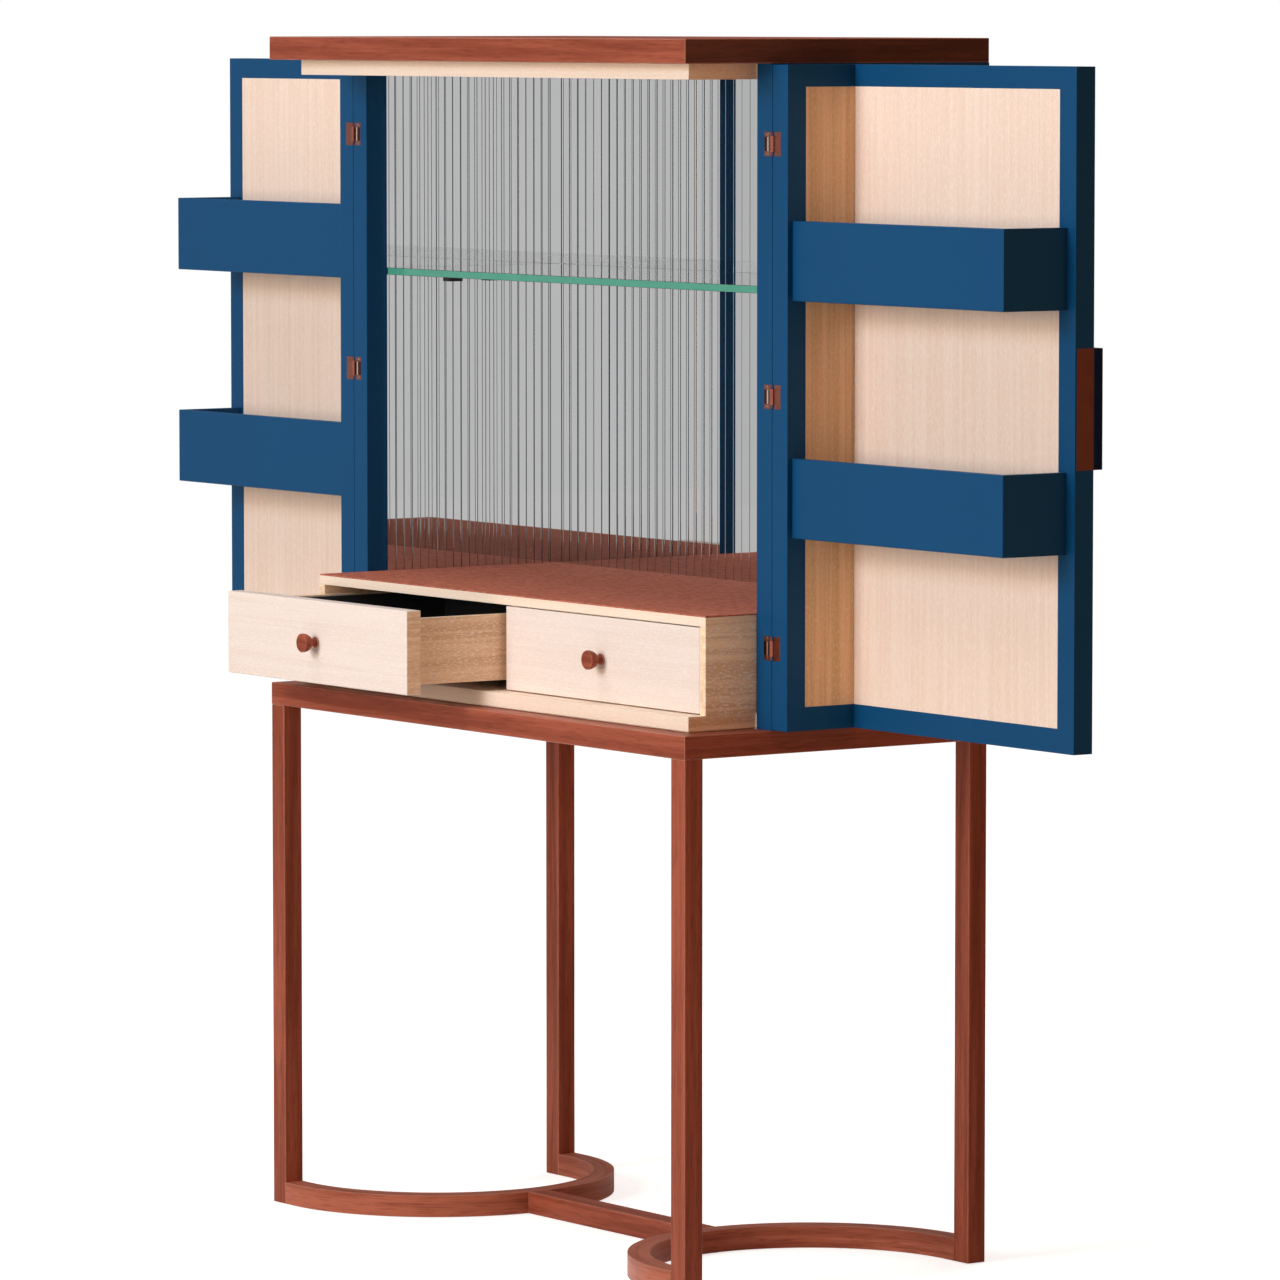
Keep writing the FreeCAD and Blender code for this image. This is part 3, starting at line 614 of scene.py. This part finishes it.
dress(stained["Z"], *both("leg_front_{}"), *both("leg_back_{}"))
dress(stained["X"], "rail_front", "rail_back", "stretcher_crossbar")
dress(slab_wood, "top_slab")
dress(stained["Y"], *both("rail_{}"))
for name, material in bent.items():
    dress(material, "stretcher_arc_" + name)
dress(oak, *both("drawer_{}_front"), *both("drawer_{}_bottom"))
# Painted light: these boards get the lighter oak.
dress(lightened_board_oak, "top_board", "bottom_board", "drawer_case_top")
# Painted shade: the drawers' sides and insides get the warmer, darker oak.
dress(shaded_side_oak, *both("drawer_case_side_{}"), "drawer_case_divider", "drawer_bearers", *both("drawer_{}_box"))
dress(lining, *both("door_{}_lining"))
dress(lacquer, "back_panel", *both("side_wall_{}"), *both("door_{}_front"), *both("door_{}_side"))
dress(lacquer, *both("door_{}_tray_lower"), *both("door_{}_tray_upper"))
dress(leather, "leather_deck")
dress(copper, *both("hinge_leaves_{}"), *both("door_{}_hinge_leaves"), *both("door_{}_screws"))
dress(plate_copper, *both("door_{}_edge_plate"))
dress(bronze, *both("door_{}_handle"))
dress(black_steel, "shelf_pins")
dress(steel, "cabinet_screws", "catch_magnets")
dress(nylon, "foot_glides")
print("dressed", len(nodes), "nodes")


# %% [markdown]
# ## Making a surface from numbers
#
# The finer pieces are grids of points that numpy works out all at once. One helper lists the faces between
# rows and columns of points, and one makes the mesh and puts the finished piece on its body.

# %% Surface helpers
def grid_faces(rows, columns, around=False):
    """Quads between neighbouring points of a rows by columns grid. Around joins the last column to the
    first."""
    steps = columns if around else columns - 1
    row, column = np.meshgrid(np.arange(rows - 1), np.arange(steps), indexing="ij")
    following = (column + 1) % columns
    corners = [row * columns + column, row * columns + following, (row + 1) * columns + following,
               (row + 1) * columns + column]
    return np.stack(corners, axis=-1).reshape(-1, 4)


def make_piece(name, points, faces, material, body, slot=None, stands_for=()):
    """Puts points and faces into a mesh and lets it ride on a CAD body. The slot is not used. It stands for
    the
    CAD nodes that it takes the place of, and they are hidden."""
    mesh = bpy.data.meshes.new(name)
    mesh.from_pydata(np.asarray(points).reshape(-1, 3).tolist(), [], [list(map(int, face)) for face in faces])
    mesh.validate()
    mesh.materials.append(material)
    made = bpy.data.objects.new(name, mesh)
    bpy.context.scene.collection.objects.link(made)
    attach(made, body)
    if stands_for:
        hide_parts(*stands_for)
    return made


print("surface helpers ready")


# %% [markdown]
# ## Fluted mirrors
#
# The mirrors are cut with narrow upright grooves. The strips between them are flat and show a clear
# reflection, while a groove's slopes look sideways and pick up thin bright lines. Each groove's bottom is
# painted dark, a painted shade that is darker where the groove is deeper. Two mirrors that meet in a corner
# repeat each other's lines. A flat pane with a texture can't do that, so the pane's face is a profile across
# its width, carried straight up.

# %% Mirror pane
GROOVE_WIDTH = 1.9 * MM
GROOVE_DEPTH = 0.5 * MM
GROOVE_POINTS = 9
SHALLOWEST = 0.45


def groove_profile(width, pitch, seed):
    """Places across the pane, and the depth and darkness there: flat strips, and at each joint a groove of
    depth D * cos(u)^2, where u goes from -90 to 90 degrees across it. Each groove is cut a little
    differently, so D varies, and the darkness, a painted shade in the groove, is the share of the full depth."""
    count = max(2, round(width / pitch))
    joints = np.arange(1, count) * width / count
    share = np.random.default_rng(seed).uniform(SHALLOWEST, 1.0, count - 1)
    turn = np.linspace(-np.pi / 2, np.pi / 2, GROOVE_POINTS)
    places = (joints[:, None] + turn[None, :] / np.pi * GROOVE_WIDTH).ravel()
    dark = (share[:, None] * np.cos(turn)[None, :] ** 2).ravel()
    places = np.concatenate([[0.0], places, [width]])
    dark = np.concatenate([[0.0], dark, [0.0]])
    return places, GROOVE_DEPTH * dark, dark


def mirror_pane(node, horizontal, towards, pitch, seed):
    """A closed pane in the CAD node's box. Four long rows run across it: back foot, front foot, front head
    and back head. Its face looks along towards and carries the grooves, and its back stays flat."""
    low, high = (np.array(corner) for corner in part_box(node))
    places, depth, dark = groove_profile(high[horizontal] - low[horizontal], pitch, seed)
    normal = 1 - horizontal
    front, back = (high[normal], low[normal]) if towards > 0 else (low[normal], high[normal])
    count = len(places)
    flat_row = np.full(count, back)
    cut_row = front - towards * depth
    points = np.zeros((4, count, 3))
    points[:, :, horizontal] = low[horizontal] + places
    points[:, :, normal] = np.stack([flat_row, cut_row, cut_row, flat_row])
    points[:, :, 2] = np.array([low[2], low[2], high[2], high[2]])[:, None]
    last = np.arange(count - 1)
    behind = np.stack([3 * count + last, 3 * count + last + 1, last + 1, last], axis=-1)
    ends = [[0, count, 2 * count, 3 * count], [4 * count - 1, 3 * count - 1, 2 * count - 1, count - 1]]
    faces = [list(face) for face in [*grid_faces(4, count), *behind, *ends]]
    if (horizontal == 0) == (towards > 0):
        faces = [face[::-1] for face in faces]
    return points, faces, np.tile(dark, 4) * np.repeat([0, 1, 1, 0], count)


print("grooves", GROOVE_WIDTH / MM, "mm wide")

# %% Mirror material
HAZE_SCALE = 6.0
GROOVE_SHADE_RANGE = (0.15, 0.5)
POLISHED = 0.01
CUT = 0.35
mirror, shader = new_material("grey_mirror")
tree = mirror.node_tree
haze = noise(tree, add(tree, "TexCoord").outputs["Object"], HAZE_SCALE, Detail=3.0)
tint = blend(tree, haze, (0.66, 0.662, 0.665, 1.0), (0.69, 0.692, 0.695, 1.0))
groove = add(tree, "Attribute", {"attribute_name": "groove"}).outputs["Fac"]
# Painted shade: the groove's bottom is mixed toward near black, more where it is deeper.
groove_shade = ramp(tree, groove, *GROOVE_SHADE_RANGE)
lined = blend(tree, groove_shade, tint, (0.012, 0.012, 0.013, 1.0))
gloss = ramp(tree, groove, 0.0, 1.0, POLISHED, CUT, smooth=False)
shader.inputs["Metallic"].default_value = 1.0
wire(tree, shader, Base_Color=lined, Roughness=gloss)
print(mirror.name, "with", len(tree.nodes), "nodes")

# %% Mirror panes
BACK_PITCH = 18.2 * MM
SIDE_PITCH = 13.3 * MM
# Each row has the CAD node, the axis that runs across it (0 is X, 1 is Y), the way its face looks along the
# other axis, the pitch of its grooves and the seed of their depths.
MIRRORS = (("mirror_back", 0, -1, BACK_PITCH, 4), ("mirror_left", 1, 1, SIDE_PITCH, 7),
           ("mirror_right", 1, -1, SIDE_PITCH, 9))
for node, horizontal, towards, pitch, seed in MIRRORS:
    points, faces, dark = mirror_pane(node, horizontal, towards, pitch, seed)
    pane = make_piece("fluted_" + node, points, faces, mirror, "cabinet", "grey_mirror", [node])
    line = pane.data.attributes.new("groove", "FLOAT", "POINT")
    line.data.foreach_set("value", dark.astype(np.float32))
    print(pane.name, len(pane.data.polygons), "faces")

# %% [markdown]
# ## Glass shelf
#
# Clear plate glass looks green where you look into its edge, because the light comes through the long way.
# The pane's polished edges are rounded, so the shelf is a rounded outline swept round its rim and closed with
# flat faces. The flat faces are clear glass, which turns green where it tilts, and the rim has a green glass
# of its own.

# %% Rounded slab
def rounded_slab(low, high, radius, steps=5):
    """A slab with rounded edges. Ring k turns from the underside to the top: at angle a the outline shrinks
    by radius * (1 - cos a) and the height moves by radius * sin a. Corners have the same radius in plan."""
    low, high = np.array(low), np.array(high)
    turn = np.linspace(-np.pi / 2, np.pi / 2, 2 * steps + 1)
    inset = radius * (1 - np.cos(turn))
    middle = (low[2] + high[2]) / 2
    half = (high[2] - low[2]) / 2 - radius
    heights = middle + np.where(turn < 0, -half, half) + radius * np.sin(turn)
    corner = np.linspace(0, np.pi / 2, steps + 1)
    around = np.concatenate([corner + quarter * np.pi / 2 for quarter in range(4)])
    sign_x = np.repeat([1, -1, -1, 1], steps + 1)
    sign_y = np.repeat([1, 1, -1, -1], steps + 1)
    core = (high - low) / 2 - radius
    centre = (high + low) / 2
    reach = radius - inset
    x = centre[0] + sign_x * core[0] + reach[:, None] * np.cos(around)
    y = centre[1] + sign_y * core[1] + reach[:, None] * np.sin(around)
    z = np.repeat(heights[:, None], len(around), axis=1)
    points = np.stack([x, y, z], axis=-1)
    faces = [*grid_faces(*points.shape[:2], around=True)]
    last = (len(heights) - 1) * len(around)
    faces.append(list(range(len(around)))[::-1])
    faces.append([last + k for k in range(len(around))])
    return points, faces


print("rounded slabs ready")

# %% Glass shelf
GLASS_EDGE = 1.0 * MM
GLASS_IOR = 1.5
CLEAR_FACES = 0.5
glass, shader = new_material("clear_glass")
tree = glass.node_tree
facing = add(tree, "SeparateXYZ", _0=add(tree, "TexCoord").outputs["Normal"])
upward = calc(tree, "ABSOLUTE", facing.outputs[2])
green = blend(tree, upward, (0.20, 0.62, 0.48, 1.0), (0.93, 0.985, 0.965, 1.0))
wire(tree, shader, Base_Color=green)
shader.inputs["Roughness"].default_value = 0.0
shader.inputs["IOR"].default_value = GLASS_IOR
shader.inputs["Transmission Weight"].default_value = 1.0
rim_glass, shader = new_material("glass_rim")
tree = rim_glass.node_tree
cloud = noise(tree, add(tree, "TexCoord").outputs["Object"], 30.0, Detail=2.0)
green = blend(tree, cloud, (0.065, 0.34, 0.235, 1.0), (0.10, 0.44, 0.31, 1.0))
wire(tree, shader, Base_Color=green)
shader.inputs["Roughness"].default_value = 0.12
shader.inputs["IOR"].default_value = GLASS_IOR
shader.inputs["Transmission Weight"].default_value = 0.25
low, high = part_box("glass_shelf")
points, faces = rounded_slab(low, high, GLASS_EDGE)
shelf = make_piece("polished_glass_shelf", points, faces, glass, "cabinet", "clear_glass", ["glass_shelf"])
shelf.data.materials.append(rim_glass)
for face in shelf.data.polygons:
    face.material_index = 1 if abs(face.normal.z) < CLEAR_FACES else 0
print(shelf.name, len(shelf.data.polygons), "faces")

# %% [markdown]
# ## Leather deck
#
# The hide on the drawer case is cut a little soft at its edge. The same rounded slab makes it, with a smaller
# radius than its thickness would allow, so that it lies flat and its rim catches a thin line of light.

# %% Leather deck
HIDE_EDGE = 0.8 * MM
low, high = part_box("leather_deck")
points, faces = rounded_slab(low, high, HIDE_EDGE)
hide = make_piece("leather_hide", points, faces, leather, "cabinet", "leather", ["leather_deck"])
print(hide.name, "is", round((high.z - low.z) / MM, 2), "mm thick")

# %% [markdown]
# ## Hinge plates and screws
#
# Each hinge has a cast plate on both leaves beside the barrel. The wall's is dark and has a polished bead
# that catches the light, and the door's is bright copper. The frame has the leaves, the barrel and flat
# screw heads. The plates, the beads and the slotted tops of the screws are thin pieces on top of them, and
# they ride on whatever their leaf is screwed to, so a hinge opens without tearing.

# %% Hinge shapes
LEAF_HALF = 15.2 * MM
PLATE_HALF = 9.0 * MM
PLATE_NEAR = 4.3 * MM
PLATE_FAR = 16.8 * MM
PLATE_EDGE = 0.18 * MM
BEAD_AT = 9.2 * MM
BEAD_HALF = 1.5 * MM
PROUD = 0.42 * MM
SCREW_FROM_AXIS = 11.0 * MM
SCREW_SPACING = 24.4 * MM
HEAD_RADIUS = 2.4 * MM
HEAD_HEIGHT = 0.3 * MM
HEAD_POINTS = 13
SLOT_ANGLE = 0.12


def facing_front(points, faces):
    """Turns a slab that was made lying down so that its top looks along -Y: Y and Z change places."""
    return points[..., [0, 2, 1]], [list(face)[::-1] for face in faces]


def together(parts):
    """Several (points, faces) as one: each part's faces count on from the points before it."""
    points = [np.asarray(part[0]).reshape(-1, 3) for part in parts]
    starts = np.cumsum([0] + [len(p) for p in points[:-1]])
    faces = [[int(k) + int(start) for k in face] for start, part in zip(starts, parts) for face in part[1]]
    return np.concatenate(points), faces


def plate(axis_x, side, near, far, z, face_y, proud):
    """A rounded plate from near to far away from the hinge's axis, which stands proud of the leaf."""
    ends = sorted((axis_x + side * near, axis_x + side * far))
    low = (ends[0], z - PLATE_HALF, face_y - proud)
    high = (ends[1], z + PLATE_HALF, face_y)
    return facing_front(*rounded_slab(low, high, PLATE_EDGE, steps=2))


def slotted_head(x, z, face_y):
    """Two half discs with a slot between them. Each half's rim runs at angle a from the slot's angle to 180
    degrees less that, at r * cos a along X and r * sin a up or down."""
    halves = []
    angle = np.linspace(SLOT_ANGLE, np.pi - SLOT_ANGLE, HEAD_POINTS)
    for sign in (1, -1):
        level = np.zeros(HEAD_POINTS)
        rim = HEAD_RADIUS * np.stack([np.cos(angle), level, sign * np.sin(angle)], axis=-1)
        front = rim + np.array([x, face_y - HEAD_HEIGHT, z])
        back = rim + np.array([x, face_y, z])
        first = list(range(HEAD_POINTS))
        faces = [*grid_faces(2, HEAD_POINTS, around=True), first[::-1], [HEAD_POINTS + k for k in first]]
        if sign > 0:
            faces = [face[::-1] for face in faces]
        halves.append((np.stack([front, back]).reshape(-1, 3), faces))
    return together(halves)


print("plates stand", PROUD / MM, "mm proud")

# %% Hinge details
hinge_brown = brushed("hinge_brown", "Z", (0.075, 0.024, 0.017, 1.0), (0.045, 0.014, 0.010, 1.0), 0.34)
bead_copper = brushed("bead_copper", "Z", (0.86, 0.60, 0.52, 1.0), (0.78, 0.50, 0.42, 1.0), 0.22)
for joint in frame["joints"]:
    if joint["type"] != "hinge":
        continue
    body = joint["child"]
    axis_x = joint["pos_m"][0]
    side = math.copysign(1.0, axis_x)
    face_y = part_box(body.replace("door", "side_wall"))[0].y
    low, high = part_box(body + "_hinge_leaves")
    heights = (low.z + LEAF_HALF, (low.z + high.z) / 2, high.z - LEAF_HALF)
    for rider, towards, finish in (("cabinet", -side, hinge_brown), (body, side, copper)):
        plates = [plate(axis_x, towards, PLATE_NEAR, PLATE_FAR, z, face_y, PROUD) for z in heights]
        heads = [slotted_head(axis_x + towards * SCREW_FROM_AXIS, z + end * SCREW_SPACING / 2, face_y)
                 for z in heights for end in (1, -1)]
        name = body + "_hinge_" + rider
        make_piece(name + "_plates", *together(plates), finish, rider, "copper")
        made = make_piece(name + "_heads", *together(heads), copper, rider, "copper")
        print(made.name, len(made.data.polygons), "faces")
    beads = [plate(axis_x, -side, BEAD_AT - BEAD_HALF, BEAD_AT + BEAD_HALF, z, face_y - PROUD, PROUD / 2)
             for z in heights]
    make_piece(body + "_hinge_beads", *together(beads), bead_copper, "cabinet", "copper")

# %% [markdown]
# ## Turned knobs
#
# A knob comes off a lathe: one outline turned round an axis. The outline starts with a small foot, narrows
# in a hollow curve to a neck and then swells quickly to a full head with a shallow dished face. The swell is
# part of an ellipse, flattened a little, so the head looks round from the side.

# %% Knob
FOOT_RADIUS = 7.5 * MM
FOOT_TOP_RADIUS = FOOT_RADIUS * 0.93
NECK_RADIUS = 4.0 * MM
FOOT_LENGTH = 2.0 * MM
WAIST_AT = 7.8 * MM
SWELL_POWER = 0.65
RIM_LENGTH = 2.2 * MM
DISH_DEPTH = 1.0 * MM
DISH_SHARE = 0.88
TOE = ((0.0, 0.96), (0.6 * MM, 1.0), (1.8 * MM, 1.0))
RIM = ((1.0 * MM, 0.995), (0.4 * MM, 0.975), (0.0, 0.93))


def turned(axis_point, outline, around=48):
    """Turns an outline of (distance out, radius) round an axis along -Y. Both ends close in a small ring."""
    out, radius = np.array(outline).T
    angle = np.linspace(0, 2 * np.pi, around, endpoint=False)
    x = axis_point[0] + radius[:, None] * np.cos(angle)
    z = axis_point[2] + radius[:, None] * np.sin(angle)
    y = np.repeat((axis_point[1] - out)[:, None], around, axis=1)
    points = np.stack([x, y, z], axis=-1)
    faces = [*grid_faces(*points.shape[:2], around=True)]
    last = (len(out) - 1) * around
    faces.append(list(range(around))[::-1])
    faces.append([last + k for k in range(around)])
    return points, faces


def knob_outline(length, disc):
    """Foot, neck and head, with s from 0 to 1 along each part. The foot's radius falls to the neck as
    neck + (foot - neck) * (1 - s)^2. The head's rises as neck + (disc - neck) * (1 - (1 - s)^2)^0.65. The
    face is dished by depth * (1 - (r / rim)^2), with r the distance from the axis. The toe and the rim are
    rounded by pairs of a distance and a share of the radius there."""
    toe = [(out, FOOT_RADIUS * share) for out, share in TOE]
    down = [(FOOT_LENGTH + (WAIST_AT - FOOT_LENGTH) * s,
             NECK_RADIUS + (FOOT_TOP_RADIUS - NECK_RADIUS) * (1 - s) ** 2) for s in np.linspace(0, 1, 9)]
    swell = length - RIM_LENGTH - WAIST_AT
    head = [(WAIST_AT + swell * s, NECK_RADIUS + (disc - NECK_RADIUS) * (1 - (1 - s) ** 2) ** SWELL_POWER)
            for s in np.linspace(0.02, 1, 16)]
    rim = [(length - back, disc * share) for back, share in RIM]
    dish = [(length - DISH_DEPTH * (1 - (share / DISH_SHARE) ** 2), disc * share)
            for share in np.linspace(DISH_SHARE, 0.02, 8)]
    return toe + down + head + rim + dish


for side in ("left", "right"):
    node = "drawer_" + side + "_knob"
    low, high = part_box(node)
    centre = (np.array(low) + np.array(high)) / 2
    outline = knob_outline(high[1] - low[1], (high[0] - low[0]) / 2)
    points, faces = turned((centre[0], high[1], centre[2]), outline)
    knob = make_piece("turned_knob_" + side, points, faces, stained["X"], "drawer_" + side,
                      "copper_stained_wood", [node])
    knob.data.shade_smooth()
    print(knob.name, len(knob.data.polygons), "faces")

# %% [markdown]
# ## Felt in the drawers
#
# Both drawers are lined with dark felt. The lining is an open tray of thin felt: its outer skin follows
# the drawer's inside, and its inner skin lies one felt's thickness further in. The two skins meet at the top
# edge.

# %% Felt liner
FELT = 1.5 * MM
AIR = 0.1 * MM
BOX_WALL = 12.0 * MM + AIR
BELOW_RIM = 2.0 * MM


def felt_tray(low, high):
    """An open box with a wall of felt. Its rings are rectangles: outer foot, outer rim, inner rim and inner
    foot."""
    low, high = np.array(low), np.array(high)
    rings = ((0.0, low[2]), (0.0, high[2]), (FELT, high[2]), (FELT, low[2] + FELT))
    points = []
    for inset, z in rings:
        near_x, near_y = low[0] + inset, low[1] + inset
        far_x, far_y = high[0] - inset, high[1] - inset
        points.append([(near_x, near_y, z), (far_x, near_y, z), (far_x, far_y, z), (near_x, far_y, z)])
    faces = [*grid_faces(4, 4, around=True), [3, 2, 1, 0], [12, 13, 14, 15]]
    return np.array(points), faces


for side in ("left", "right"):
    bottom_low, bottom_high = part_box("drawer_" + side + "_bottom")
    box_low, box_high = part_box("drawer_" + side + "_box")
    low = (box_low.x + BOX_WALL, bottom_low.y + AIR, bottom_high.z + AIR / 2)
    high = (box_high.x - BOX_WALL, box_high.y - BOX_WALL, box_high.z - BELOW_RIM)
    points, faces = felt_tray(low, high)
    liner = make_piece("felt_liner_" + side, points, faces, felt, "drawer_" + side)
    print(liner.name, "floor at", round(low[2], 4))

# %% [markdown]
#
# The dressed model must stay as large as the CAD model. The last line measures the box round every piece that
# renders, with the floor left out.

# %% Finish
low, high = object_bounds()
